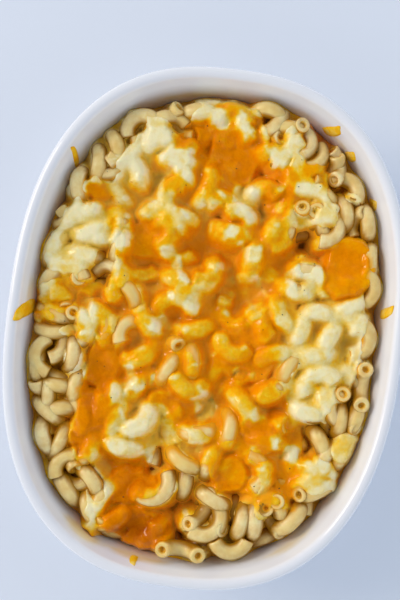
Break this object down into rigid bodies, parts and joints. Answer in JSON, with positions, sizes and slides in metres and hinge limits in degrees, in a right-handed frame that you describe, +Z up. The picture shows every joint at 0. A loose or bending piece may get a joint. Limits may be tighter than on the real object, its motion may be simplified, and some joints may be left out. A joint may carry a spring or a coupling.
{
  "type": "macaroni and cheese in a baking dish",
  "caption": "Baked elbow macaroni under melted orange and white cheese, in the white glazed oval baking dish that holds it.",
  "frame": {"origin": "centre of the dish's foot, on the surface it stands on", "axes": "+Y along the dish's long side, towards the upper end of the picture; +X across it; +Z up"},
  "size_m": [0.192, 0.252, 0.058],
  "materials": {
    "glazed_dish": "glossy white glaze",
    "cooked_pasta": "moist boiled pasta",
    "melted_cheddar": "oily melted orange cheese",
    "melted_white_cheese": "soft melted white cheese"
  },
  "bodies": {
    "root": {"dish": "glazed_dish", "macaroni": "cooked_pasta", "cheddar_slab_right": "melted_cheddar", "cheddar_pool_bottom": "melted_cheddar", "cheddar_low_middle": "melted_cheddar", "cheddar_top": "melted_cheddar", "cheddar_low_left": "melted_cheddar", "cheddar_middle": "melted_cheddar", "cheddar_low_right": "melted_cheddar", "cheddar_left": "melted_cheddar", "cheddar_upper_right": "melted_cheddar", "white_cheese_upper_left": "melted_white_cheese", "white_cheese_right": "melted_white_cheese", "white_cheese_low": "melted_white_cheese"}
  },
  "joints": []
}
